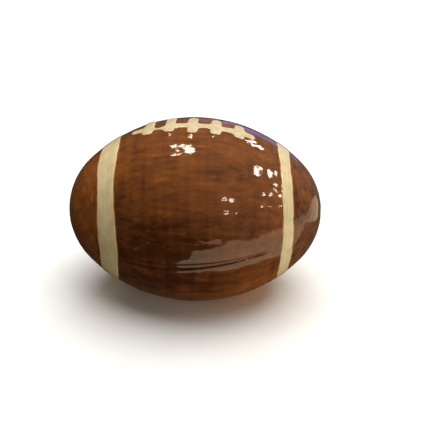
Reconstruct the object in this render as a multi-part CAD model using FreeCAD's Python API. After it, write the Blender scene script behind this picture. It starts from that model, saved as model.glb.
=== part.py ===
import FreeCAD, Part
import math
import os

# A football-shaped coin bank in glazed earthenware, standing on the flat of its foot.
# X runs along the ball, -Y is its front and Z is up. Sizes are in millimetres and degrees.
# Every piece is made with the ball's long axis on the X axis, and lifted onto the ground when written.

# Ball: a solid of revolution, one large arc along the side and tips whose radius is a step smaller
BALL_LENGTH = 190.0
BALL_DIAMETER = 139.0
TIP_STEP = 17.5
WALL = 5.0

# Foot: the flat under the ball, with a recess in it that hides the stopper's flange
FOOT_WIDTH = 52.0
FOOT_EDGE = 4.0
RECESS_DEPTH = 3.5
RECESS_EDGE = 1.0

# Coin slot: cut straight down into the back of the ball, out of sight behind the top
SLOT_LENGTH = 34.0
SLOT_WIDTH = 5.0
SLOT_SETBACK = 46.0
SLOT_EDGE = 0.8

# Seams: a shallow round groove moulded along each side, at this angle from the top and lower on the left
SEAM_ANGLE = 96.5
SEAM_LEAN = 4.5
SEAM_LENGTH = 108.0
SEAM_WIDTH = 4.0
SEAM_DEPTH = 1.0

# Stripes: coats of slip round each end, set in from the tips, painted by hand and not equally wide
LEFT_STRIPE_INSET = 26.0
LEFT_STRIPE_WIDTH = 13.0
RIGHT_STRIPE_INSET = 26.6
RIGHT_STRIPE_WIDTH = 7.8
STRIPE_COAT = 0.3

# What is fired onto the ball lies this close to it
SEAT_GAP = 0.02

# Laces: a spine along the top and strips across it, laid by hand and a little askew
LACING_OFFSET = -3.0
LACING_TURN = 2.5
SPINE_LENGTH = 89.0
SPINE_WIDTH = 8.0
SPINE_HEIGHT = 1.0
CROSS_PITCH = 16.5
CROSS_LENGTHS = (29.0, 29.0, 28.0, 26.0, 23.0)
CROSS_WIDTH = 8.2
CROSS_HEIGHT = 1.7
CROSS_LEANS = (5.5, 0.0, 0.0, 0.0, 0.0)
CROSS_SETBACKS = (4.5, 3.0, -0.5, -1.0, -1.0)

# Stopper: a soft hollow plug that tapers into its hole, with a web across the hollow to pull it by
HOLE_DIAMETER = 23.0
FLANGE_LAP = 4.5
FLANGE_GAP = 1.0
FLANGE_THICKNESS = 2.2
FLANGE_EDGE = 0.8
PLUG_CLEARANCE = 0.1
PLUG_TAPER = 0.8
PLUG_REACH = 4.0
PLUG_WALL = 2.0
GRIP_THICKNESS = 2.4
GRIP_INSET = 0.8

# The side's arc is tangent to both tips and passes through the middle's diameter
BALL_RADIUS = BALL_DIAMETER / 2
TIP_RADIUS = BALL_RADIUS - TIP_STEP
TIP_CENTRE = BALL_LENGTH / 2 - TIP_RADIUS
SIDE_DROP = (TIP_CENTRE**2 - TIP_STEP**2) / (2 * TIP_STEP)
SIDE_RADIUS = BALL_RADIUS + SIDE_DROP
TIP_SPREAD = math.atan2(SIDE_DROP, TIP_CENTRE)

# Levels below the long axis, and the radii of the foot's recess and of what fits in it
GROUND = -math.sqrt(BALL_RADIUS**2 - (FOOT_WIDTH / 2) ** 2)
SEAT = GROUND + RECESS_DEPTH
HOLE_RADIUS = HOLE_DIAMETER / 2
FLANGE_RADIUS = HOLE_RADIUS + FLANGE_LAP
RECESS_RADIUS = FLANGE_RADIUS + FLANGE_GAP

ORIGIN = FreeCAD.Vector(0, 0, 0)
ALONG = FreeCAD.Vector(1, 0, 0)
ACROSS = FreeCAD.Vector(0, 1, 0)
UP = FreeCAD.Vector(0, 0, 1)
SIDE_CENTRE = FreeCAD.Vector(0, 0, -SIDE_DROP)


def ball(offset=0.0):
    """The whole ball, with its surface moved out by an offset."""
    tip = TIP_RADIUS + offset

    def on_tip(angle, end):
        return FreeCAD.Vector(end * (TIP_CENTRE + tip * math.cos(angle)), 0, tip * math.sin(angle))

    right, left = ([on_tip(share * TIP_SPREAD, end) for share in (0, 0.5, 1)] for end in (1, -1))
    crown = FreeCAD.Vector(0, 0, BALL_RADIUS + offset)
    outline = Part.Wire(
        [
            Part.Arc(*right).toShape(),
            Part.Arc(right[2], crown, left[2]).toShape(),
            Part.Arc(*reversed(left)).toShape(),
            Part.LineSegment(left[0], right[0]).toShape(),
        ]
    )
    return Part.Face(outline).revolve(ORIGIN, ALONG, 360)


def below(level):
    """Everything under a level."""
    corner = FreeCAD.Vector(-BALL_LENGTH, -BALL_LENGTH, level - BALL_LENGTH)
    return Part.makeBox(2 * BALL_LENGTH, 2 * BALL_LENGTH, BALL_LENGTH, corner)


def upright(radius, bottom, top):
    """A cylinder on the stopper's axis, from one level to another."""
    return Part.makeCylinder(radius, top - bottom, FreeCAD.Vector(0, 0, bottom))


def rim(solid, level, radius=None):
    """The edges of a solid that lie at a level, all of them or only the circles of one radius."""
    flat = [e for e in solid.Edges if abs(e.BoundBox.ZMax - level) + abs(e.BoundBox.ZMin - level) < 1e-4]
    if radius is None:
        return flat
    return [e for e in flat if abs(e.BoundBox.XLength - 2 * radius) < 1e-4]


def rod(radius, bend, length, start):
    """A round rod with ball ends, made along Y and bent down round a circle of radius bend.

    Its round section starts at an angle from the crest, and an edge runs along the rod there.
    """
    axis = FreeCAD.Vector(0, 0, -bend)
    half_turn = math.degrees(length / 2 / bend)
    section = Part.Face(Part.Wire(Part.Circle(ORIGIN, ACROSS, radius).toShape()))
    section.rotate(ORIGIN, ACROSS, start)
    section.rotate(axis, ALONG, -half_turn)
    made = section.revolve(axis, ALONG, 2 * half_turn)
    arch = Part.Arc(-radius * ALONG, radius * UP, radius * ALONG).toShape()
    chord = Part.LineSegment(radius * ALONG, -radius * ALONG).toShape()
    half_disc = Part.Face(Part.Wire([arch, chord]))
    for facing, turn in ((0, -half_turn), (180, half_turn)):
        end = half_disc.revolve(ORIGIN, -ALONG, 180)
        end.rotate(ORIGIN, UP, facing)
        end.rotate(axis, ALONG, turn)
        made = made.fuse(end)
    return made


def strip(length, width, rise, bend, start=0.0):
    """A rod along Y that breaks a surface of radius bend by its rise, over this length and width."""
    radius = (width**2 / 4 + rise**2) / (2 * abs(rise))
    level = rise - math.copysign(radius, rise)
    made = rod(radius, bend + level, (length - width) * (1 + level / bend), start)
    made.translate(FreeCAD.Vector(0, 0, level))
    return made


def seam(angle):
    """The cutter for a groove along the side's arc, at an angle from the top and leaning."""
    groove = strip(SEAM_LENGTH, SEAM_WIDTH, -SEAM_DEPTH, SIDE_RADIUS)
    groove.rotate(ORIGIN, UP, 90 + math.copysign(SEAM_LEAN, angle))
    groove.translate(FreeCAD.Vector(0, 0, BALL_RADIUS))
    groove.rotate(ORIGIN, ALONG, angle)
    return groove


def coin_slot():
    """A cutter with round ends, from the long axis up through the ball."""
    straight = (SLOT_LENGTH - SLOT_WIDTH) / 2
    height = BALL_DIAMETER
    cutter = Part.makeBox(2 * straight, SLOT_WIDTH, height, FreeCAD.Vector(-straight, -SLOT_WIDTH / 2, 0))
    for end in (-straight, straight):
        cutter = cutter.fuse(Part.makeCylinder(SLOT_WIDTH / 2, height, FreeCAD.Vector(end, 0, 0)))
    cutter = cutter.removeSplitter()
    cutter.translate(FreeCAD.Vector(0, SLOT_SETBACK, 0))
    return cutter


def mouth(solid):
    """The edges where the coin slot opens in the ball's surface."""
    return [
        e
        for e in solid.Edges
        if abs(e.CenterOfMass.x) < SLOT_LENGTH / 2
        and abs(e.CenterOfMass.y - SLOT_SETBACK) < SLOT_WIDTH
        and not isinstance(e.Curve, (Part.Line, Part.Circle))
    ]


def make_shell():
    """The slip-cast ball: one hollow piece with an even wall, which follows the recess under it."""
    cast = ball().cut(below(GROUND))
    cast = cast.makeFillet(FOOT_EDGE, rim(cast, GROUND))
    cast = cast.cut(coin_slot())
    cast = cast.makeFillet(SLOT_EDGE, mouth(cast))
    cast = cast.cut(upright(RECESS_RADIUS, GROUND, SEAT))
    cast = cast.makeFillet(RECESS_EDGE, rim(cast, GROUND, RECESS_RADIUS))
    cavity = ball(-WALL).cut(below(GROUND + WALL))
    cavity = cavity.cut(upright(RECESS_RADIUS + WALL, GROUND, SEAT + WALL))
    cast = cast.cut(cavity)
    cast = cast.cut(upright(HOLE_RADIUS, SEAT, 0))
    for angle in (SEAM_ANGLE, -SEAM_ANGLE):
        cast = cast.cut(seam(angle))
    return cast


def make_stripe(start, width):
    """A coat of slip round the ball, from a place along it."""
    corner = FreeCAD.Vector(start, -BALL_LENGTH, -BALL_LENGTH)
    slab = Part.makeBox(width, 2 * BALL_LENGTH, 2 * BALL_LENGTH, corner)
    return ball(STRIPE_COAT).common(slab).cut(ball(SEAT_GAP))


def laid_on_top(solid, x, setback=0.0):
    """A strip made at the origin, set on the ball at x and moved back over the top."""
    solid.translate(FreeCAD.Vector(0, 0, BALL_RADIUS))
    solid.rotate(SIDE_CENTRE, ACROSS, math.degrees(math.asin(x / SIDE_RADIUS)))
    solid.rotate(ORIGIN, ALONG, -math.degrees(setback / BALL_RADIUS))
    solid.rotate(FreeCAD.Vector(LACING_OFFSET, 0, 0), UP, -LACING_TURN)
    return solid.cut(ball(SEAT_GAP))


def make_spine():
    """The lace along the top, with no edge along the crest that the others cross."""
    lace = strip(SPINE_LENGTH, SPINE_WIDTH, SPINE_HEIGHT, SIDE_RADIUS, start=180)
    lace.rotate(ORIGIN, UP, 90)
    return laid_on_top(lace, LACING_OFFSET)


def make_cross_lace(number, spine):
    """One lace across the top, which rides over the spine."""
    x = LACING_OFFSET + (number - (len(CROSS_LEANS) - 1) / 2) * CROSS_PITCH
    slope = math.asin(x / SIDE_RADIUS)
    lace = strip(CROSS_LENGTHS[number], CROSS_WIDTH, CROSS_HEIGHT, SIDE_RADIUS - SIDE_DROP / math.cos(slope))
    lace.rotate(ORIGIN, UP, -CROSS_LEANS[number])
    return laid_on_top(lace, x, CROSS_SETBACKS[number]).cut(spine)


def make_stopper():
    """The rubber plug: a flange against the recess's roof and a hollow taper through the hole."""
    plug_radius = HOLE_RADIUS - PLUG_CLEARANCE
    plug_height = WALL + PLUG_REACH
    flange_base = SEAT - FLANGE_THICKNESS
    flange = upright(FLANGE_RADIUS, flange_base, SEAT)
    flange = flange.makeFillet(FLANGE_EDGE, rim(flange, flange_base))
    taper = Part.makeCone(plug_radius, plug_radius - PLUG_TAPER, plug_height, FreeCAD.Vector(0, 0, SEAT))
    hollow_radius = plug_radius - PLUG_TAPER - PLUG_WALL
    hollow_top = SEAT + plug_height - PLUG_WALL
    plug = flange.fuse(taper).cut(upright(hollow_radius, flange_base, hollow_top))
    grip_base = flange_base + GRIP_INSET
    corner = FreeCAD.Vector(-hollow_radius, -GRIP_THICKNESS / 2, grip_base)
    grip = Part.makeBox(2 * hollow_radius, GRIP_THICKNESS, hollow_top - grip_base, corner)
    grip = grip.common(upright(hollow_radius, grip_base, hollow_top))
    return plug.fuse(grip).removeSplitter()


def main():
    tip = BALL_LENGTH / 2
    spine = make_spine()
    pieces = {
        "shell": make_shell(),
        "left_stripe": make_stripe(LEFT_STRIPE_INSET - tip, LEFT_STRIPE_WIDTH),
        "right_stripe": make_stripe(tip - RIGHT_STRIPE_INSET - RIGHT_STRIPE_WIDTH, RIGHT_STRIPE_WIDTH),
        "lace_spine": spine,
        "stopper": make_stopper(),
    }
    for number in range(len(CROSS_LEANS)):
        pieces[f"cross_lace_{number + 1}"] = make_cross_lace(number, spine)
    os.makedirs("parts", exist_ok=True)
    for name, piece in pieces.items():
        piece.translate(FreeCAD.Vector(0, 0, -GROUND))
        piece.exportStep(f"parts/{name}.step")
        print(name, len(piece.Solids), "solid", piece.isValid(), f"{piece.Volume:.1f} mm3")


main()
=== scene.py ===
# A coin bank in glazed earthenware, shaped and painted as a football, on a pale table.
# Metres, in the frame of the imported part: X runs along the ball, -Y is its front and Z is up.
import math

import bmesh
import bpy
import numpy as np
from mathutils import Matrix, Vector


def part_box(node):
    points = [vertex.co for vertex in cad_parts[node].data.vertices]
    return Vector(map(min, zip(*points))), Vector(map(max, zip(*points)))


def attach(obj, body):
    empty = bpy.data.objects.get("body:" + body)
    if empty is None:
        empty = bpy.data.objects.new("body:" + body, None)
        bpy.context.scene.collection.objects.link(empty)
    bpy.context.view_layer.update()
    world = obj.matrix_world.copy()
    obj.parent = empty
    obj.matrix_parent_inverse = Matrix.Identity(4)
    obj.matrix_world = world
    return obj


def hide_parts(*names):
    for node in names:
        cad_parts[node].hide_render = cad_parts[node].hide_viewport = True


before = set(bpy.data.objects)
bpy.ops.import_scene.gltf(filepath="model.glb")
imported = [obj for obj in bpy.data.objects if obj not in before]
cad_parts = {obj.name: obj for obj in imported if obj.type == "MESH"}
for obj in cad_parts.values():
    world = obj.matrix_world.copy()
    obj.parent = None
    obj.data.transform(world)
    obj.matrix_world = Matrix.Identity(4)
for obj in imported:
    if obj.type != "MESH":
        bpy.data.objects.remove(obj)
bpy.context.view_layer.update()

# Shell: the whole ball, slip-cast hollow in a plaster mould, with an even wall and a foot sponged flat.
# Brown underglaze is brushed on in lengthwise strokes, and a clear gloss glaze is poured over it and fired.
MM = 0.001
TIP_STEP = 17.5 * MM
WALL = 5.0 * MM
FOOT_EASE = 0.3 * MM
FOOT_WIPE = 0.16 * MM
CAST_SAG = 0.25 * MM
CAST_SWELL = 34.0 * MM
SEAM_TURN = math.radians(96.5)
SEAM_SLOPE = math.radians(0.07) / MM
SEAM_REACH = 54.0 * MM
SEAM_FADE = 9.0 * MM
SEAM_DEPTH = 0.9 * MM
SEAM_BED = 2.6 * MM
SEAM_CLOSES = 1.5 * MM
RING_STEP = 1.15 * MM
TURN_STEP = math.radians(1.4)
FINE_TURN_STEP = math.radians(0.36)
SEAM_BAND = math.radians(6.6)
LACING_BAND = math.radians(19.0)
HOLLOW_RING_STEP = 3 * RING_STEP
HOLLOW_TURNS = 120
SHARP_BEND = math.radians(40.0)
GLAZED = 0
BARE = 1

# Its outline is three arcs that run into each other: one along the sides and a smaller one round each tip
shell_low, shell_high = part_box("shell")
TIP = (shell_high.x - shell_low.x) / 2
GIRTH = (shell_high.y - shell_low.y) / 2
AXIS = shell_high.z - GIRTH
TIP_RADIUS = GIRTH - TIP_STEP
TIP_CENTRE = TIP - TIP_RADIUS
SIDE_DROP = (TIP_CENTRE**2 - TIP_STEP**2) / (2 * TIP_STEP)
SIDE_RADIUS = GIRTH + SIDE_DROP
TIP_SPREAD = math.atan2(SIDE_DROP, TIP_CENTRE)
TIP_START = TIP_CENTRE + TIP_RADIUS * math.cos(TIP_SPREAD)


def ease(value, start, end):
    """0 before start and 1 after end, with a smooth rise between them."""
    share = np.clip((value - start) / (end - start), 0.0, 1.0)
    return share * share * (3.0 - 2.0 * share)


def outline(x):
    """The ball's radius at places along it, and how far its surface faces along and outward there."""
    on_tip = np.abs(x) > TIP_START
    centre = np.where(on_tip, np.sign(x) * TIP_CENTRE, 0.0)
    radius = np.where(on_tip, TIP_RADIUS, SIDE_RADIUS)
    reach = np.sqrt(np.maximum(radius**2 - (x - centre) ** 2, 0.0))
    return reach - np.where(on_tip, 0.0, SIDE_DROP), (x - centre) / radius, reach / radius


def cast_sag(x, turn):
    """How far the cast surface has sunk in drying: three long waves that run askew and never line up."""
    along = 2 * math.pi * x / CAST_SWELL
    swell = np.sin(along + 1.7 * np.sin(2 * turn)) + np.sin(0.6 * along - 3 * turn + 1.0)
    swell += np.sin(0.35 * along + 5 * turn + 2.0)
    return CAST_SAG * (0.5 + swell / 6)


def seam(x, turn, radius):
    """The seam along each side: 1 in its bed and less on its shoulders, and how far it hasn't faded out."""
    across = (np.abs(turn) - SEAM_TURN + SEAM_SLOPE * x) * radius
    closed_by = SEAM_CLOSES * ease(x, -SEAM_REACH / 2, SEAM_REACH)
    bed = np.exp(-(((across + closed_by) / (SEAM_BED - closed_by)) ** 4))
    return bed, 1.0 - ease(np.abs(x), SEAM_REACH - SEAM_FADE, SEAM_REACH)


def skin(x, turn, lift=0.0):
    """Points over the cast surface, at places along the ball and turns from its top towards its front."""
    radius, facing_along, facing_out = outline(x)
    bed, left = seam(x, turn, radius)
    proud = lift - cast_sag(x, turn) - SEAM_DEPTH * bed * left
    out = radius + proud * facing_out
    return np.stack([x + proud * facing_along, -out * np.sin(turn), AXIS + out * np.cos(turn)], axis=-1)


def ring_places(step):
    """Places along the ball, a step apart on its outline, without the two tips."""
    on_tip = np.linspace(0.0, TIP_SPREAD, round(TIP_SPREAD * TIP_RADIUS / step) + 1)[1:]
    tip = TIP_CENTRE + TIP_RADIUS * np.cos(on_tip)
    half_side = math.asin(TIP_START / SIDE_RADIUS)
    on_side = np.linspace(-half_side, half_side, round(2 * half_side * SIDE_RADIUS / step) + 1)[1:-1]
    return np.concatenate([-tip, SIDE_RADIUS * np.sin(on_side), tip[::-1]])


def closed_skin(rings, left, right):
    """Points and faces of a closed form: rows of points that go round, and one point at each end."""
    rows, columns = rings.shape[:2]
    points = np.concatenate([[left], rings.reshape(-1, 3), [right]])
    last = len(points) - 1
    faces = []
    for c in range(columns):
        d = (c + 1) % columns
        faces.append((0, 1 + c, 1 + d))
        faces.append((last, last - columns + d, last - columns + c))
        for r in range(rows - 1):
            a = 1 + r * columns
            b = a + columns
            faces.append((a + c, b + c, b + d, a + d))
    return points, faces


def shade(mesh, bend_limit):
    """Smooth shading, broken only where two faces meet at more than an angle."""
    mesh.polygons.foreach_set("use_smooth", [True] * len(mesh.polygons))
    mesh.set_sharp_from_angle(angle=bend_limit)


def mesh_object(name, forms, bend_limit=SHARP_BEND):
    """A smooth-shaded object made of forms, each a set of points, faces and a material's number."""
    mesh = bpy.data.meshes.new(name)
    points = np.concatenate([form[0] for form in forms])
    faces = []
    numbers = []
    start = 0
    for form_points, form_faces, number in forms:
        faces += [tuple(start + i for i in face) for face in form_faces]
        numbers += [number] * len(form_faces)
        start += len(form_points)
    mesh.from_pydata(points.tolist(), [], faces)
    mesh.polygons.foreach_set("material_index", numbers)
    mesh.update()
    made = bpy.data.objects.new(name, mesh)
    bpy.context.scene.collection.objects.link(made)
    shade(mesh, bend_limit)
    return made


def face_outward(made, inside_out=()):
    """Turns each closed form of an object to face outward, and then the forms of some materials inward."""
    work = bmesh.new()
    work.from_mesh(made.data)
    bmesh.ops.recalc_face_normals(work, faces=work.faces)
    turned = [face for face in work.faces if face.material_index in inside_out]
    bmesh.ops.reverse_faces(work, faces=turned)
    work.to_mesh(made.data)
    work.free()


# Stopper's recess and hole under the foot, turned in the mould's plug and sponged at their edges
RECESS_RADIUS = 17.0 * MM
RECESS_DEPTH = 3.5 * MM
RECESS_EDGE = 1.0 * MM
HOLE_RADIUS = 11.5 * MM
HOLE_EDGE = 0.5 * MM
SEAT_ANGLES = 96
SEAT_CLEAR = 0.01 * MM
SEAT_EDGE_POINTS = 6


def sponged_edge(radius, edge, height):
    """Radius and height of points up the rounded lower edge of a hole."""
    angles = np.linspace(0.0, math.pi / 2, SEAT_EDGE_POINTS)
    return [(radius + edge * (1 - math.sin(a)), height + edge * (1 - math.cos(a))) for a in angles]


seat_mouth = RECESS_RADIUS + 2 * RECESS_EDGE
seat_profile = [(seat_mouth, -WALL), (seat_mouth, -SEAT_CLEAR)]
seat_profile += sponged_edge(RECESS_RADIUS, RECESS_EDGE, 0.0)
seat_profile += [(RECESS_RADIUS, RECESS_DEPTH)]
seat_profile += sponged_edge(HOLE_RADIUS, HOLE_EDGE, RECESS_DEPTH)
seat_profile += [(HOLE_RADIUS, RECESS_DEPTH + 2 * WALL)]
seat_angles = np.linspace(0.0, 2 * math.pi, SEAT_ANGLES, endpoint=False)
seat_rings = np.array(
    [[(r * math.cos(a), r * math.sin(a), z) for a in seat_angles] for r, z in seat_profile]
)
seat_form = closed_skin(seat_rings, seat_rings[0].mean(axis=0), seat_rings[-1].mean(axis=0))

# Coin slot, cut through the soft clay with a knife and its lips smoothed with a wet finger
SLOT_LENGTH = 34.0 * MM
SLOT_WIDTH = 5.0 * MM
SLOT_SETBACK = 46.0 * MM
SLOT_EDGE = 0.9 * MM
SLOT_END_POINTS = 25
LIP_POINTS = 7
lip = np.linspace(0.0, math.pi / 2, LIP_POINTS)
slot_straight = (SLOT_LENGTH - SLOT_WIDTH) / 2
end_angles = np.linspace(-math.pi / 2, math.pi / 2, SLOT_END_POINTS)
slot_angles = np.concatenate([end_angles, end_angles + math.pi])
slot_ends = np.repeat([slot_straight, -slot_straight], SLOT_END_POINTS)


def slot_ring(spread, depth):
    """The slot's outline, widened by a spread, at a depth under the ball's surface."""
    half = SLOT_WIDTH / 2 + spread
    x = slot_ends + half * np.cos(slot_angles)
    y = SLOT_SETBACK + half * np.sin(slot_angles)
    return np.stack([x, y, AXIS + np.sqrt(outline(x)[0] ** 2 - y**2) - depth], axis=-1)


slot_rings = [slot_ring(0.0, 3 * WALL), slot_ring(0.0, 2 * SLOT_EDGE)]
slot_rings += [slot_ring(SLOT_EDGE * (1 - math.cos(a)), SLOT_EDGE * (1 - math.sin(a))) for a in lip]
slot_rings += [slot_ring(2 * SLOT_EDGE, -SLOT_EDGE), slot_ring(2 * SLOT_EDGE, -WALL)]
slot_rings = np.array(slot_rings)
slot_form = closed_skin(slot_rings, slot_rings[0].mean(axis=0), slot_rings[-1].mean(axis=0))

# Ball, with finer turns at the seams and under the laces, and its foot pressed flat at the ground.
# The hollow follows it at the wall's thickness and has a hump over the stopper's recess.
HUMP_RADIUS = RECESS_RADIUS + WALL
HUMP_EASE = 2.0 * MM
turns = np.arange(-math.pi, math.pi, TURN_STEP)
for middle, band in ((SEAM_TURN, SEAM_BAND), (-SEAM_TURN, SEAM_BAND), (0.0, LACING_BAND)):
    fine_turns = middle + np.arange(-band, band, FINE_TURN_STEP)
    turns = np.concatenate([turns[np.abs(turns - middle) > band], fine_turns])
turns = np.sort(turns)
outside = skin(*np.meshgrid(ring_places(RING_STEP), turns, indexing="ij"))
outside[..., 2] = (outside[..., 2] + np.sqrt(outside[..., 2] ** 2 + FOOT_EASE**2)) / 2
hollow_turns = np.linspace(-math.pi, math.pi, HOLLOW_TURNS, endpoint=False)
inside = skin(*np.meshgrid(ring_places(HOLLOW_RING_STEP), hollow_turns, indexing="ij"), lift=-WALL)
from_hole = np.hypot(inside[..., 0], inside[..., 1])
hump = ease(-from_hole, -HUMP_RADIUS - HUMP_EASE, -HUMP_RADIUS)
inside[..., 2] = np.maximum(inside[..., 2], WALL + RECESS_DEPTH * hump)
right_tip = np.array([TIP, 0.0, AXIS])
left_tip = np.array([-TIP, 0.0, AXIS])
wall_step = np.array([WALL, 0.0, 0.0])
shell = mesh_object(
    "glazed_shell",
    [
        (*closed_skin(outside, left_tip, right_tip), GLAZED),
        (*closed_skin(inside, left_tip + wall_step, right_tip - wall_step), BARE),
    ],
)
face_outward(shell, inside_out=(BARE,))
cutter = mesh_object("cutter", [(*slot_form, GLAZED), (*seat_form, BARE)])
face_outward(cutter)
for clay in (shell, cutter):
    clay.data.materials.append(None)
    clay.data.materials.append(None)
cutting = shell.modifiers.new("cut", "BOOLEAN")
cutting.operation = "DIFFERENCE"
cutting.solver = "EXACT"
cutting.object = cutter
shell.data = bpy.data.meshes.new_from_object(shell.evaluated_get(bpy.context.evaluated_depsgraph_get()))
shell.modifiers.clear()
bpy.data.objects.remove(cutter)
shade(shell.data, SHARP_BEND)

# Foot, wiped clean of glaze before the firing, up to a sharp line
work = bmesh.new()
work.from_mesh(shell.data)
everything = [*work.verts, *work.edges, *work.faces]
bmesh.ops.bisect_plane(work, geom=everything, plane_co=(0.0, 0.0, FOOT_WIPE), plane_no=(0.0, 0.0, 1.0))
for face in work.faces:
    if face.calc_center_median().z < FOOT_WIPE:
        face.material_index = BARE
work.to_mesh(shell.data)
work.free()

# Painted shade in the seam: its two shoulders, most halfway down each, are marked to be darkened in the
# brown
shell_points = np.empty((len(shell.data.vertices), 3), np.float32)
shell.data.vertices.foreach_get("co", shell_points.ravel())
shell_turns = np.arctan2(-shell_points[:, 1], shell_points[:, 2] - AXIS)
bed, left = seam(shell_points[:, 0], shell_turns, outline(shell_points[:, 0])[0])
seam_shade_values = shell.data.attributes.new("seam_painted_shade", "FLOAT", "POINT")
seam_shade_values.data.foreach_set("value", (4 * bed * (1 - bed) * left).astype(np.float32))

# Sockets of a Mix node, which has a set of its own for numbers, vectors and colours
NUMBER_A, NUMBER_B, NUMBER_OUT = 2, 3, 0
VECTOR_A, VECTOR_B, VECTOR_OUT = 4, 5, 1
COLOUR_A, COLOUR_B, COLOUR_OUT = 6, 7, 2


def srgb(code):
    """A colour written as sRGB hex, as linear red, green, blue and alpha."""
    parts = [int(code[i : i + 2], 16) / 255 for i in (1, 3, 5)]
    return [p / 12.92 if p <= 0.04045 else ((p + 0.055) / 1.055) ** 2.4 for p in parts] + [1.0]


def add(material, kind, inputs=None, stops=None, **settings):
    """Adds a node. Each input takes a value or another node's output, and stops are a ramp's colours."""
    node = material.node_tree.nodes.new("ShaderNode" + kind)
    for name, value in settings.items():
        setattr(node, name, value)
    for key, value in (inputs or {}).items():
        if isinstance(value, bpy.types.NodeSocket):
            material.node_tree.links.new(value, node.inputs[key])
        else:
            node.inputs[key].default_value = value
    if stops:
        ramp = node.color_ramp.elements
        while len(ramp) < len(stops):
            ramp.new(0.5)
        for element, (place, colour) in zip(ramp, stops):
            element.position = place
            element.color = srgb(colour)
    return node


def new_material(name):
    """An empty material."""
    material = bpy.data.materials.new(name)
    material.use_nodes = True
    material.node_tree.nodes.clear()
    return material


def per_mm(along, around):
    """Stretch that makes a pattern's features this many millimetres long, along the ball and round it."""
    return (1 / (along * MM), 1 / (around * MM), 1 / (around * MM))


# Brushed brown underglaze under a clear fired glaze: streaks and bands of thick and thin colour show
# through a hard gloss, whose surface ripples softly and breaks each light's mirror image into patches.
# Brush marks have a weight, mm along and round the sides, mm along and round the ends, and a detail.
BRUSH_MARKS = (
    (0.38, 24.0, 4.0, 3.4, 7.0, 1.5),
    (0.17, 30.0, 1.0, 1.1, 20.0, 1.0),
    (0.26, 5.5, 50.0, 3.0, 5.0, 1.5),
    (0.46, 34.0, 15.0, 14.0, 14.0, 2.0),
)
# Painted shade and light: each patch fades in over a stretch along the ball and one up it, in mm, and makes
# the tone darker or lighter.
PAINTED_SHADE_AND_LIGHT = (
    (48, -8, 118, 72, -0.19),
    (40, -14, 40, 18, 0.12),
    (12, 34, 46, 30, 0.2),
    (66, 70, 160, 150, -0.1),
    (-66, -70, 120, 75, 0.22),
)
CAP_START = 64.0 * MM
MIDDLE_TONE = 0.5
SEAM_SHADE_SHARE = 0.65
brown = new_material("brushed_brown_underglaze_clear_gloss")
place = add(brown, "TexCoord").outputs["Object"]
parts = add(brown, "SeparateXYZ", {0: place}).outputs
along = parts["X"]
up = parts["Z"]
from_middle = add(brown, "Math", {0: along}, operation="ABSOLUTE")
on_cap = add(brown, "Math", {0: from_middle.outputs[0], 1: CAP_START}, operation="GREATER_THAN")
tone = MIDDLE_TONE
for weight, side_along, side_around, end_along, end_around, detail in BRUSH_MARKS:
    on_side = add(brown, "VectorMath", {0: place, 1: per_mm(side_along, side_around)}, operation="MULTIPLY")
    on_end = add(brown, "VectorMath", {0: place, 1: per_mm(end_along, end_around)}, operation="MULTIPLY")
    size = add(
        brown,
        "Mix",
        {0: on_cap.outputs[0], VECTOR_A: on_side.outputs[0], VECTOR_B: on_end.outputs[0]},
        data_type="VECTOR",
    )
    noise = add(brown, "TexNoise", {"Vector": size.outputs[VECTOR_OUT], "Scale": 1.0, "Detail": detail})
    swing = add(brown, "Math", {0: noise.outputs[0], 1: MIDDLE_TONE}, operation="SUBTRACT")
    marked = add(brown, "Math", {0: swing.outputs[0], 1: weight, 2: tone}, operation="MULTIPLY_ADD")
    tone = marked.outputs[0]
# Painted shade: darker low on the left half and over the right cap. Painted light: lighter at the bottom on
# the left, low on the left cap and low on the right.
for clear_along, full_along, clear_up, full_up, amount in PAINTED_SHADE_AND_LIGHT:
    reach_along = add(
        brown,
        "MapRange",
        {"Value": along, "From Min": clear_along * MM, "From Max": full_along * MM},
        interpolation_type="SMOOTHSTEP",
    )
    reach_up = add(
        brown,
        "MapRange",
        {"Value": up, "From Min": clear_up * MM, "From Max": full_up * MM, "To Max": amount},
        interpolation_type="SMOOTHSTEP",
    )
    shaded_and_lit_tone = add(
        brown,
        "Math",
        {0: reach_along.outputs[0], 1: reach_up.outputs[0], 2: tone},
        operation="MULTIPLY_ADD",
    )
    tone = shaded_and_lit_tone.outputs[0]
colour = add(
    brown,
    "ValToRGB",
    {0: tone},
    stops=[(0.16, "#3a1b0b"), (0.3, "#4d2811"), (0.44, "#683a1b"), (0.58, "#7c461d"), (0.8, "#9d5d27")],
)
spot_size = add(brown, "VectorMath", {0: place, 1: per_mm(9, 4)}, operation="MULTIPLY")
spot = add(
    brown, "TexNoise", {"Vector": spot_size.outputs[0], "Scale": 1.0, "Detail": 3.0, "Roughness": 0.65}
)
spot = add(brown, "MapRange", {"Value": spot.outputs[0], "From Min": 0.6, "From Max": 0.76, "To Max": 0.4})
colour = add(
    brown,
    "Mix",
    {0: spot.outputs[0], COLOUR_A: colour.outputs[0], COLOUR_B: srgb("#a8652a")},
    data_type="RGBA",
)
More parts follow.
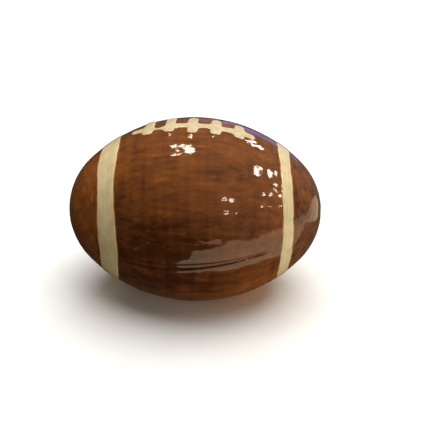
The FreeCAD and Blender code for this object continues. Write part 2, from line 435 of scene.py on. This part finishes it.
# Painted shade: the brown is mixed towards a dark brown on the seam's shoulders
seam_shade = add(brown, "Attribute", attribute_name="seam_painted_shade")
seam_shade = add(brown, "Math", {0: seam_shade.outputs["Fac"], 1: SEAM_SHADE_SHARE}, operation="MULTIPLY")
colour = add(
    brown,
    "Mix",
    {0: seam_shade.outputs[0], COLOUR_A: colour.outputs[COLOUR_OUT], COLOUR_B: srgb("#2a1207")},
    data_type="RGBA",
)
ripple_size = add(brown, "VectorMath", {0: place, 1: per_mm(7, 5)}, operation="MULTIPLY")
ripple = add(brown, "TexNoise", {"Vector": ripple_size.outputs[0], "Scale": 1.0, "Detail": 1.2})
relief = add(brown, "Bump", {"Height": ripple.outputs[0], "Distance": 0.13 * MM, "Strength": 1.0})
gloss = add(
    brown,
    "BsdfPrincipled",
    {
        "Base Color": colour.outputs[COLOUR_OUT],
        "Roughness": 0.06,
        "IOR": 1.5,
        "Normal": relief.outputs[0],
    },
)
add(brown, "OutputMaterial", {"Surface": gloss.outputs[0]})

# Bare biscuit-fired earthenware on the foot and inside: chalky, off-white and finely pitted.
# Its grit is drawn coarser than it is, so that it shows.
biscuit = new_material("biscuit_fired_earthenware")
place = add(biscuit, "TexCoord").outputs["Object"]
grit = add(biscuit, "TexNoise", {"Vector": place, "Scale": 1 / (0.9 * MM), "Detail": 4.0})
colour = add(biscuit, "ValToRGB", {0: grit.outputs[0]}, stops=[(0.3, "#cbbfa9"), (0.7, "#e4dbc9")])
relief = add(biscuit, "Bump", {"Height": grit.outputs[0], "Distance": 0.06 * MM, "Strength": 1.0})
chalk = add(
    biscuit,
    "BsdfPrincipled",
    {"Base Color": colour.outputs[0], "Roughness": 0.85, "IOR": 1.5, "Normal": relief.outputs[0]},
)
add(biscuit, "OutputMaterial", {"Surface": chalk.outputs[0]})
shell.data.materials[GLAZED] = brown
shell.data.materials[BARE] = biscuit
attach(shell, "bank")
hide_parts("shell")

# Stripes: a coat of cream slip brushed round each end by hand, so their edges wander a little.
# The coat is thick enough to feel, rounds off at its edges, and is fired under the same clear glaze.
STRIPE_COAT = 0.3 * MM
STRIPE_SINK = 0.3 * MM
STRIPE_ROUND = 0.9 * MM
STRIPE_TURNS = 420
STRIPE_ACROSS = 10
WASH_COAT = 0.06 * MM
WASH_WIDTH = 0.9 * MM
WASH_TOE = 0.09 * MM
WASH_ROWS = 2
EDGE_WANDER = 0.16 * MM
# Waves of an edge's fine wander: how many go round the ball, their share and their shift
EDGE_WAVES = ((7, 1.0, 2.3), (16, 0.7, 4.1), (31, 0.5, 1.0))
# Strays of the brush: degrees from the top, mm along the ball, and the degrees that each is spread over
STRAYS = {
    "left_outer": ((22, -1.4, 22), (112, 1.2, 26)),
    "left_inner": ((48, -1.5, 26), (92, 1.5, 26)),
    "right_inner": ((8, -1.6, 34), (86, 0.8, 30)),
    "right_outer": ((22, -0.9, 30), (96, 1.2, 34)),
}


def painted_edge(turn, place, strays, seed):
    """Where a painted edge lies along the ball, with its fine wander and what it strays at some turns."""
    edge = np.full_like(turn, place)
    for waves, share, shift in EDGE_WAVES:
        edge += EDGE_WANDER * share * np.sin(waves * turn + shift * seed)
    for middle, amount, reach in strays:
        edge += amount * MM * np.exp(-(((turn - math.radians(middle)) / math.radians(reach)) ** 2))
    return edge


# Cream slip under the clear glaze: a warm pale coat, clouded where it is thin and faintly lined round the
# ball by the brush's hairs, with the same soft-rippled shine as the brown.
cream = new_material("cream_slip_clear_gloss")
place = add(cream, "TexCoord").outputs["Object"]
line_size = add(cream, "VectorMath", {0: place, 1: per_mm(0.9, 30)}, operation="MULTIPLY")
line = add(cream, "TexNoise", {"Vector": line_size.outputs[0], "Scale": 1.0, "Detail": 2.0})
cloud = add(cream, "TexNoise", {"Vector": place, "Scale": 1 / (9 * MM), "Detail": 2.0})
tone = add(cream, "Math", {0: cloud.outputs[0], 1: 0.6, 2: -0.1}, operation="MULTIPLY_ADD")
tone = add(cream, "Math", {0: line.outputs[0], 1: 0.6, 2: tone.outputs[0]}, operation="MULTIPLY_ADD")
colour = add(
    cream, "ValToRGB", {0: tone.outputs[0]}, stops=[(0.3, "#c9b384"), (0.5, "#d6c396"), (0.75, "#e2d2a8")]
)
ripple = add(cream, "TexNoise", {"Vector": place, "Scale": 1 / (6 * MM), "Detail": 1.0})
relief = add(cream, "Bump", {"Height": ripple.outputs[0], "Distance": 0.08 * MM, "Strength": 1.0})
gloss = add(
    cream,
    "BsdfPrincipled",
    {"Base Color": colour.outputs[0], "Roughness": 0.08, "IOR": 1.5, "Normal": relief.outputs[0]},
)
add(cream, "OutputMaterial", {"Surface": gloss.outputs[0]})

# Thin brown wash, left by the brush along a stripe's edge: the clay shines through as a warm line
wash = new_material("thin_brown_wash_clear_gloss")
place = add(wash, "TexCoord").outputs["Object"]
cloud_size = add(wash, "VectorMath", {0: place, 1: per_mm(4, 7)}, operation="MULTIPLY")
cloud = add(wash, "TexNoise", {"Vector": cloud_size.outputs[0], "Scale": 1.0, "Detail": 3.0})
colour = add(wash, "ValToRGB", {0: cloud.outputs[0]}, stops=[(0.4, "#6b3a1a"), (0.6, "#a3602a")])
gloss = add(wash, "BsdfPrincipled", {"Base Color": colour.outputs[0], "Roughness": 0.08, "IOR": 1.5})
add(wash, "OutputMaterial", {"Surface": gloss.outputs[0]})

# Each stripe is a ring of rows: up over the wash and the coat's round edge, across, down and back below
coat_rim = [(-WASH_WIDTH, -STRIPE_SINK), (WASH_TOE - WASH_WIDTH, 0.0), (0.0, WASH_COAT)]
for angle in lip[1:]:
    inset = STRIPE_ROUND * (1 - math.cos(angle))
    coat_rim.append((inset, WASH_COAT + (STRIPE_COAT - WASH_COAT) * math.sin(angle)))
turn = np.linspace(-math.pi, math.pi, STRIPE_TURNS, endpoint=False)
for seed, (side, first, second) in enumerate((("left", "outer", "inner"), ("right", "inner", "outer"))):
    low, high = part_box(f"{side}_stripe")
    start = painted_edge(turn, low.x, STRAYS[f"{side}_{first}"], seed + 1)
    end = painted_edge(turn, high.x, STRAYS[f"{side}_{second}"], seed + 3)
    rows = [skin(start + inset, turn, coat) for inset, coat in coat_rim]
    flat = end - start - 2 * STRIPE_ROUND
    for share in np.linspace(0.0, 1.0, STRIPE_ACROSS + 1)[1:-1]:
        rows.append(skin(start + STRIPE_ROUND + flat * share, turn, STRIPE_COAT))
    rows += [skin(end - inset, turn, coat) for inset, coat in reversed(coat_rim)]
    last_row = len(rows) - 1
    for share in np.linspace(1.0, 0.0, STRIPE_ACROSS + 1):
        rows.append(skin(start + (end - start) * share, turn, -STRIPE_SINK))
    rows = np.array(rows)
    index = np.arange(rows[..., 0].size).reshape(rows.shape[:2])
    after = np.roll(index, -1, axis=0)
    faces = np.stack([index, after, np.roll(after, -1, axis=1), np.roll(index, -1, axis=1)], axis=-1)
    stripe = mesh_object(f"cream_stripe_{side}", [(rows.reshape(-1, 3), faces.reshape(-1, 4).tolist(), 0)])
    stripe.data.materials.append(cream)
    stripe.data.materials.append(wash)
    for face in stripe.data.polygons:
        row = face.index // STRIPE_TURNS
        face.material_index = int(row < WASH_ROWS or row >= last_row - WASH_ROWS)
    face_outward(stripe)
    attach(stripe, "bank")
    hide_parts(f"{side}_stripe")

# Lacing: soft strips of clay laid on the leather-hard ball, one along the top and five across it, patted
# flat and smoothed into each other with a wet finger, then brushed with pale cream slip under the glaze.
LACING_OFFSET = -3.0 * MM
LACING_TURN = math.radians(2.5)
SPINE_LENGTH = 90.0 * MM
SPINE_WIDTH = 7.8 * MM
SPINE_WAIST = 2.8 * MM
SPINE_WAIST_AT = -24.5 * MM
SPINE_WAIST_REACH = 4.5 * MM
SPINE_HEIGHT = 0.75 * MM
# The spine's wavering course: mm along the lacing, and mm back over the top
SPINE_COURSE = ((-44, 1.6), (-35, 0.6), (-25, -3.2), (-8, -1.8), (8, -2.4), (25, -3.4), (44, -2.8))
CROSS_PITCH = 16.5 * MM
CROSS_WIDTH = 8.2 * MM
CROSS_HEIGHT = 1.0 * MM
# Each lace across: mm along from its even place, mm back over the top, degrees of lean and mm of length
CROSS_LACES = (
    (1.2, 4.5, 2.5, 29.0),
    (0.0, 3.0, 2.0, 29.0),
    (0.0, -0.5, 0.0, 28.0),
    (0.0, -1.0, 0.0, 26.0),
    (0.0, -1.0, 0.0, 23.0),
)
MIDDLE_LACE = len(CROSS_LACES) // 2
LACE_CORNER = 4.0 * MM
LACE_SHOULDER = 1.5 * MM
LACE_MELT = 1.2 * MM
LACE_SINK = 0.4 * MM
LACE_WANDER = 0.45 * MM
LACE_STEP = 0.45 * MM
LACE_BEND = math.radians(70.0)


def on_top(x, back, lift):
    """Points over the top: x along the lacing and an arc's length back over it, turned with the lacing."""
    radius = outline(x)[0]
    y = radius * np.sin(back / radius)
    turned_x = LACING_OFFSET + (x - LACING_OFFSET) * math.cos(LACING_TURN) + y * math.sin(LACING_TURN)
    turned_y = y * math.cos(LACING_TURN) - (x - LACING_OFFSET) * math.sin(LACING_TURN)
    return skin(turned_x, -np.arcsin(turned_y / outline(turned_x)[0]), lift)


def past_block(along, across, length, width):
    """How far a place lies outside a block with rounded corners, or, below zero, inside it."""
    corner = np.minimum(LACE_CORNER, width / 2)
    beyond_end = np.abs(along) - length / 2 + corner
    beyond_side = np.abs(across) - width / 2 + corner
    outside_it = np.hypot(np.maximum(beyond_end, 0.0), np.maximum(beyond_side, 0.0))
    return outside_it + np.minimum(np.maximum(beyond_end, beyond_side), 0.0) - corner


def laces_across():
    """Each lace across: its middle along the ball and back over the top, its lean and its length."""
    for number, (shift, setback, lean, length) in enumerate(CROSS_LACES):
        middle = LACING_OFFSET + (number - MIDDLE_LACE) * CROSS_PITCH + shift * MM
        yield middle, setback * MM, math.radians(lean), length * MM


def past_lacing(x, back):
    """How far a place lies outside the whole lacing, and outside the nearest lace across."""
    along = x - LACING_OFFSET
    waist = np.exp(-(((along - SPINE_WAIST_AT) / SPINE_WAIST_REACH) ** 2))
    spine_width = SPINE_WIDTH - (SPINE_WIDTH - SPINE_WAIST) * waist
    course = np.interp(along / MM, *zip(*SPINE_COURSE)) * MM
    blocks = [past_block(along, back - course, SPINE_LENGTH, spine_width)]
    for middle, setback, lean, length in laces_across():
        from_x = x - middle
        from_back = back - setback
        down = from_back * math.cos(lean) + from_x * math.sin(lean)
        over = from_x * math.cos(lean) - from_back * math.sin(lean)
        blocks.append(past_block(down, over, length, CROSS_WIDTH))
    wander = np.sin(x / (2.1 * MM) + 2 * np.sin(back / (3.0 * MM)))
    wander += np.sin(back / (2.4 * MM) - x / (3.7 * MM))
    melted = -LACE_MELT * np.log(sum(np.exp(-block / LACE_MELT) for block in blocks))
    return melted + LACE_WANDER * wander / 2, np.minimum.reduce(blocks[1:])


def lace_rise(past, past_cross):
    """Height of the clay over the ball: a soft shoulder up to a flat top, higher on the laces across."""
    top = SPINE_HEIGHT + (CROSS_HEIGHT - SPINE_HEIGHT) * ease(-past_cross, 0.0, LACE_SHOULDER)
    inward = np.clip(-past / LACE_SHOULDER, -1.0, 1.0)
    return np.where(inward > 0, top * np.sin(inward * math.pi / 2), top * inward * math.pi / 2)


# The lacing is a grid over the top, kept where there is clay, with a bed below it and a wall round its edge
longest = max(length for shift, setback, lean, length in CROSS_LACES)
furthest = max(setback for shift, setback, lean, length in CROSS_LACES)
half_along = SPINE_LENGTH / 2 + LACE_SHOULDER
half_back = (longest / 2 + furthest) * MM + LACE_SHOULDER
lace_x = LACING_OFFSET + np.arange(-half_along, half_along, LACE_STEP)
lace_back = np.arange(-half_back, half_back, LACE_STEP)
lace_x, lace_back = np.meshgrid(lace_x, lace_back, indexing="ij")
rise = np.maximum(lace_rise(*past_lacing(lace_x, lace_back)), -LACE_SINK)
tops = on_top(lace_x, lace_back, rise)
beds = on_top(lace_x, lace_back, -2 * LACE_SINK)
index = np.arange(rise.size).reshape(rise.shape)
cells = np.stack([index[:-1, :-1], index[1:, :-1], index[1:, 1:], index[:-1, 1:]], axis=-1).reshape(-1, 4)
cells = cells[(rise.ravel()[cells] > -LACE_SINK).any(axis=1)]
faces = cells.tolist() + (cells[:, ::-1] + rise.size).tolist()
sides = {(cell[i], cell[(i + 1) % 4]) for cell in cells.tolist() for i in range(4)}
faces += [(b, a, a + rise.size, b + rise.size) for a, b in sorted(sides) if (b, a) not in sides]
used = np.unique(np.array(faces))
renumbered = np.zeros(2 * rise.size, int)
renumbered[used] = np.arange(len(used))
points = np.concatenate([tops.reshape(-1, 3), beds.reshape(-1, 3)])[used]
lacing = mesh_object("raised_lacing", [(points, renumbered[np.array(faces)].tolist(), 0)], LACE_BEND)
face_outward(lacing)

# Clear glaze pools in the corner where the laces meet the ball, and in a bead at each lace's front end
POOL_RISE = 0.4 * MM
POOL_REACH = 2.0 * MM
POOL_END = 3 * POOL_REACH
TOP_START = 0.6 * GIRTH
BEAD_RISE = 1.1 * MM
BEAD_SIZE = 2.9 * MM
BEAD_LAP = -0.4 * MM
shell_normals = np.empty_like(shell_points)
shell.data.vertices.foreach_get("normal", shell_normals.ravel())
from_lacing = shell_points - np.array([LACING_OFFSET, 0.0, AXIS])
straight_x = from_lacing[:, 0] * math.cos(LACING_TURN) - from_lacing[:, 1] * math.sin(LACING_TURN)
straight_y = from_lacing[:, 1] * math.cos(LACING_TURN) + from_lacing[:, 0] * math.sin(LACING_TURN)
in_reach = from_lacing[:, 2] > TOP_START
in_reach &= np.abs(straight_x) < half_along + POOL_END
in_reach &= np.abs(straight_y) < half_back + POOL_END
straight_x = LACING_OFFSET + straight_x[in_reach]
radius = outline(straight_x)[0]
straight_back = radius * np.arcsin(straight_y[in_reach] / radius)
past = past_lacing(straight_x, straight_back)[0]
pool = POOL_RISE * np.exp(-np.maximum(past, 0.0) / POOL_REACH)
for middle, setback, lean, length in laces_across():
    reach = BEAD_LAP - length / 2
    bead_x = middle + reach * math.sin(lean)
    bead_back = setback + reach * math.cos(lean)
    from_bead = np.hypot(straight_x - bead_x, straight_back - bead_back)
    pool += (BEAD_RISE - POOL_RISE) * np.exp(-((from_bead / BEAD_SIZE) ** 2))
shell_points[in_reach] += shell_normals[in_reach] * pool[:, None]
shell.data.vertices.foreach_set("co", shell_points.ravel())
shell.data.update()

# Pale cream slip on the laces: cloudier and a little duller than the stripes, with a soft hand-patted
# relief that breaks up the lights.
lace_slip = new_material("pale_cream_slip_clear_gloss")
place = add(lace_slip, "TexCoord").outputs["Object"]
cloud = add(lace_slip, "TexNoise", {"Vector": place, "Scale": 1 / (5 * MM), "Detail": 4.0})
colour = add(
    lace_slip,
    "ValToRGB",
    {0: cloud.outputs[0]},
    stops=[(0.3, "#c2ad84"), (0.5, "#cfbc94"), (0.7, "#d8c8a3")],
)
relief = add(lace_slip, "Bump", {"Height": cloud.outputs[0], "Distance": 0.1 * MM, "Strength": 1.0})
gloss = add(
    lace_slip,
    "BsdfPrincipled",
    {"Base Color": colour.outputs[0], "Roughness": 0.1, "IOR": 1.5, "Normal": relief.outputs[0]},
)
add(lace_slip, "OutputMaterial", {"Surface": gloss.outputs[0]})
lacing.data.materials.append(lace_slip)
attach(lacing, "bank")
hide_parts("lace_spine", *[f"cross_lace_{number + 1}" for number in range(len(CROSS_LACES))])

# Stopper: a soft rubber plug, pressed into the hole under the foot and pulled out by the web in its hollow.
# Moulded rubber is matt and pale, with a fine grain and a faint bloom where it has been handled.
rubber = new_material("moulded_soft_rubber")
place = add(rubber, "TexCoord").outputs["Object"]
bloom = add(rubber, "TexNoise", {"Vector": place, "Scale": 1 / (4 * MM), "Detail": 4.0})
colour = add(rubber, "ValToRGB", {0: bloom.outputs[0]}, stops=[(0.3, "#d3d0c4"), (0.7, "#e2dfd6")])
matt = add(
    rubber,
    "MapRange",
    {"Value": bloom.outputs[0], "From Min": 0.3, "From Max": 0.7, "To Min": 0.43, "To Max": 0.63},
)
grain = add(rubber, "TexNoise", {"Vector": place, "Scale": 1 / (0.4 * MM), "Detail": 2.0})
relief = add(rubber, "Bump", {"Height": grain.outputs[0], "Distance": 0.02 * MM, "Strength": 1.0})
soft = add(
    rubber,
    "BsdfPrincipled",
    {
        "Base Color": colour.outputs[0],
        "Roughness": matt.outputs[0],
        "IOR": 1.52,
        "Normal": relief.outputs[0],
    },
)
add(rubber, "OutputMaterial", {"Surface": soft.outputs[0]})
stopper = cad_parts["stopper"]
stopper.data.materials.clear()
stopper.data.materials.append(rubber)

# Table: a plain pale board that the bank stands on, painted matt white, with no shine and the faintest
# mottle. The glaze doesn't mirror it: what it mirrors of the table is the lit part further down.
TABLE_HALF = 1.5
table_paint = new_material("matt_white_paint")
place = add(table_paint, "TexCoord").outputs["Object"]
mottle = add(table_paint, "TexNoise", {"Vector": place, "Scale": 1 / (60 * MM), "Detail": 3.0})
colour = add(table_paint, "ValToRGB", {0: mottle.outputs[0]}, stops=[(0.3, "#f3f2f0"), (0.7, "#f7f6f4")])
paint = add(
    table_paint,
    "BsdfPrincipled",
    {"Base Color": colour.outputs[0], "Roughness": 0.9, "Specular IOR Level": 0.0},
)
add(table_paint, "OutputMaterial", {"Surface": paint.outputs[0]})
table_corners = np.array([(x, y, 0.0) for x, y in ((-1, -1), (1, -1), (1, 1), (-1, 1))]) * TABLE_HALF
table = mesh_object("pale_table", [(table_corners, [(0, 1, 2, 3)], 0)])
table.data.materials.append(table_paint)
table.visible_glossy = False
table.visible_diffuse = False
table.visible_shadow = False

# Camera: held by hand 0.6 m from the ball, swung a little to the left, looking down on the front and rolled
# by a hair. Its focal length and the ball's place off the middle are in pixels of the picture.
BALL = Vector((0.0, 0.0, AXIS))
CAMERA_DISTANCE = 0.6
CAMERA_SWING = math.radians(1.89)
CAMERA_HEIGHT = math.radians(29.5)
CAMERA_ROLL = math.radians(2.02)
SENSOR_WIDTH = 36.0
IMAGE = 430
FOCAL = 789.8
BALL_LEFT = 19.4
BALL_ABOVE = 6.0
ahead = Vector(
    (
        math.sin(CAMERA_SWING) * math.cos(CAMERA_HEIGHT),
        math.cos(CAMERA_SWING) * math.cos(CAMERA_HEIGHT),
        -math.sin(CAMERA_HEIGHT),
    )
)
level = Vector((math.cos(CAMERA_SWING), -math.sin(CAMERA_SWING), 0.0))
upward = level.cross(ahead)
rightward = math.cos(CAMERA_ROLL) * level + math.sin(CAMERA_ROLL) * upward
upward = -math.sin(CAMERA_ROLL) * level + math.cos(CAMERA_ROLL) * upward
aim = ahead + (upward * BALL_ABOVE - rightward * BALL_LEFT) / FOCAL
eye = BALL - aim * CAMERA_DISTANCE
camera = bpy.data.objects.new("camera", bpy.data.cameras.new("camera"))
bpy.context.scene.collection.objects.link(camera)
camera.data.sensor_width = SENSOR_WIDTH
camera.data.lens = FOCAL / IMAGE * SENSOR_WIDTH
camera.matrix_world = Matrix.Translation(eye) @ Matrix((rightward, upward, -ahead)).transposed().to_4x4()
bpy.context.scene.camera = camera

# Light: large soft panels, which only shade the ball, and the room's windows and lamps, which are only
# mirrored in its glaze. Each lamp hangs where the picture shows its image in the glaze.
RAY_STEPS = 100
LAMP_DISTANCE = 2.0
LAMP_GLARE = 76.0
# A lamp's image in the picture, in pixels across and down, and the lamp's width and height in metres
LAMPS = (
    ("ceiling_pane_1", (174.1, 145.9), 0.14, 0.12),
    ("ceiling_pane_2", (173.9, 154.4), 0.14, 0.12),
    ("ceiling_pane_3", (181.3, 145.6), 0.14, 0.09),
    ("ceiling_pane_4", (181.0, 154.5), 0.14, 0.09),
    ("ceiling_pane_5", (177.0, 150.0), 0.05, 0.1),
    ("ceiling_pane_6", (190.0, 149.5), 0.22, 0.42),
    ("window_left", (256.3, 170.9), 0.4, 0.16),
    ("window_middle", (270.1, 173.8), 0.34, 0.09),
    ("window_right", (276.7, 173.0), 0.2, 0.05),
    ("corner_lamp", (257.7, 146.9), 0.08, 0.22),
    ("wall_lamp_1", (261.9, 194.1), 0.08, 0.08),
    ("wall_lamp_2", (270.3, 194.1), 0.16, 0.08),
    ("wall_lamp_3", (281.4, 195.7), 0.08, 0.17),
    ("wall_lamp_4", (260.0, 207.1), 0.06, 0.05),
    ("wall_lamp_5", (269.7, 207.1), 0.06, 0.04),
    ("wall_lamp_6", (281.8, 206.2), 0.05, 0.07),
    ("sill_lamp_1", (276.1, 184.8), 0.05, 0.09),
    ("sill_lamp_2", (276.1, 190.2), 0.04, 0.12),
    ("front_lamp_1", (225.9, 199.4), 0.07, 0.06),
    ("front_lamp_2", (233.3, 200.1), 0.14, 0.04),
    ("front_lamp_3", (227.8, 211.5), 0.1, 0.04),
    ("front_lamp_4", (236.0, 212.8), 0.06, 0.06),
)


def mirrored(pixels):
    """Where the eye's rays through pixels of the picture meet the ball, and how the glaze turns them."""
    across, down = np.transpose(pixels) - IMAGE / 2
    rays = np.array(ahead) + (np.outer(across, rightward) - np.outer(down, upward)) / FOCAL
    rays /= np.linalg.norm(rays, axis=1)[:, None]
    reach = np.full(len(rays), CAMERA_DISTANCE - TIP)
    for step in range(RAY_STEPS):
        hits = np.array(eye) + rays * reach[:, None]
        radius, facing_along, facing_out = outline(hits[:, 0])
        over_axis = hits[:, 1:] - np.array([0.0, AXIS])
        from_axis = np.hypot(*over_axis.T)
        reach += (from_axis - radius) * facing_out
    outward = over_axis * (facing_out / from_axis)[:, None]
    normals = np.column_stack([facing_along, outward])
    return hits, rays - 2 * np.sum(rays * normals, axis=1)[:, None] * normals


def panel(name, direction, distance, width, height, power, colour, in_glaze):
    """A panel of light that faces the ball, either mirrored in the glaze or only felt as light."""
    light = bpy.data.lights.new(name, "AREA")
    light.shape = "RECTANGLE"
    light.size = width
    light.size_y = height
    light.energy = power
    light.color = srgb(colour)[:3]
    made = bpy.data.objects.new(name, light)
    bpy.context.scene.collection.objects.link(made)
    toward = Vector(direction).normalized()
    made.location = BALL + toward * distance
    made.rotation_euler = (-toward).to_track_quat("-Z", "Y").to_euler()
    made.visible_camera = False
    made.visible_glossy = in_glaze
    made.visible_diffuse = not in_glaze


panel("ceiling", (0.1, 0.2, 1.0), 3.0, 3.75, 3.75, 165.0, "#ffffff", False)
panel("right_fill", (0.8, -0.75, 0.0), 1.6, 1.6, 1.2, 5.0, "#fff6ea", False)
panel("left_fill", (-1.0, -0.45, 0.15), 1.2, 0.8, 0.8, 3.0, "#fff6ea", False)
panel("table_bounce", (0.5, -0.45, -0.75), 0.9, 1.4, 1.0, 3.5, "#fff6ea", False)
panel("bounce", (0.8, -0.25, -0.35), 1.0, 1.0, 0.6, 4.0, "#fff8ee", False)
panel("blue_window", (0.27, 0.96, 0.05), 2.0, 0.95, 0.45, 1.2, "#007eff", True)
for name, image, width, height in LAMPS:
    hits, onward = mirrored([image])
    from_ball = hits[0] - np.array(BALL)
    outward = from_ball @ onward[0]
    reach = math.sqrt(LAMP_DISTANCE**2 - from_ball @ from_ball + outward**2) - outward
    power = LAMP_GLARE * width * height
    panel(name, from_ball + onward[0] * reach, LAMP_DISTANCE, width, height, power, "#fff4e2", True)

# Lit table: the part of the painted table that lies in full light, beyond the ball's own shadow.
# The glaze mirrors it as a pale veil over the ball's lower half, so it reaches as far as the veil does in
# the picture. Its paint is seen only there, as a warm glow.
LIT_LIFT = 0.1 * MM
# Outline of the veil in the picture, in pixels across and down, and of a smaller patch above it
VEIL = (
    (175.5, 272.5), (209, 271.5), (231.5, 270), (247.5, 265.5), (262, 261), (280, 256), (296, 242),
    (302, 232), (305.5, 222), (316.5, 220), (318, 215.5), (318, 204.5), (316, 194.5), (312, 199.5),
    (303, 215), (281, 229), (272, 231), (262, 236), (250, 241), (240, 240), (227, 241), (222, 246),
    (205, 249), (192, 252), (190, 258), (179, 261.5),
)
VEIL_PATCH = (
    (197, 240), (200, 243), (205.5, 243.5), (216, 244), (220, 244), (222, 239), (218, 239), (214, 239),
    (208, 240.5), (205, 241),
)
lit_forms = []
for edge in (VEIL, VEIL_PATCH):
    hits, onward = mirrored(edge)
    reach = (LIT_LIFT - hits[:, 2]) / onward[:, 2]
    lit_forms.append((hits + onward * reach[:, None], [tuple(range(len(edge)))], 0))
lit_table = mesh_object("lit_table", lit_forms)
lit_paint = new_material("lit_white_paint")
glow = add(lit_paint, "Emission", {"Color": srgb("#ffe6c0"), "Strength": 1.5})
add(lit_paint, "OutputMaterial", {"Surface": glow.outputs[0]})
lit_table.data.materials.append(lit_paint)
lit_table.visible_camera = False
lit_table.visible_diffuse = False
lit_table.visible_shadow = False

# Room: dim all round and brighter towards its windows at the upper right, as the glaze mirrors it.
# Where the camera looks past the table, it sees a plain pale wall.
WINDOW_SIDE = Vector((0.75, 0.2, 0.63)).normalized()
ROOM_DIM = 0.025
ROOM_BRIGHT = 0.35
WALL_SEEN = 0.9
world = bpy.data.worlds.new("studio")
bpy.context.scene.world = world
world.use_nodes = True
world.node_tree.nodes.clear()
facing = add(world, "TexCoord").outputs["Generated"]
toward = add(world, "VectorMath", {0: facing, 1: WINDOW_SIDE}, operation="DOT_PRODUCT")
gleam = add(
    world,
    "MapRange",
    {
        "Value": toward.outputs["Value"],
        "From Min": -0.2,
        "From Max": 1.0,
        "To Min": ROOM_DIM,
        "To Max": ROOM_BRIGHT,
    },
)
seen = add(world, "LightPath").outputs["Is Camera Ray"]
glow = add(world, "Mix", {0: seen, NUMBER_A: gleam.outputs[0], NUMBER_B: WALL_SEEN})
tint = add(
    world, "Mix", {0: seen, COLOUR_A: srgb("#fff0d8"), COLOUR_B: srgb("#fffdf9")}, data_type="RGBA"
)
room = add(
    world, "Background", {"Color": tint.outputs[COLOUR_OUT], "Strength": glow.outputs[NUMBER_OUT]}
)
add(world, "OutputWorld", {"Surface": room.outputs[0]})
bpy.context.scene.view_settings.view_transform = "Standard"
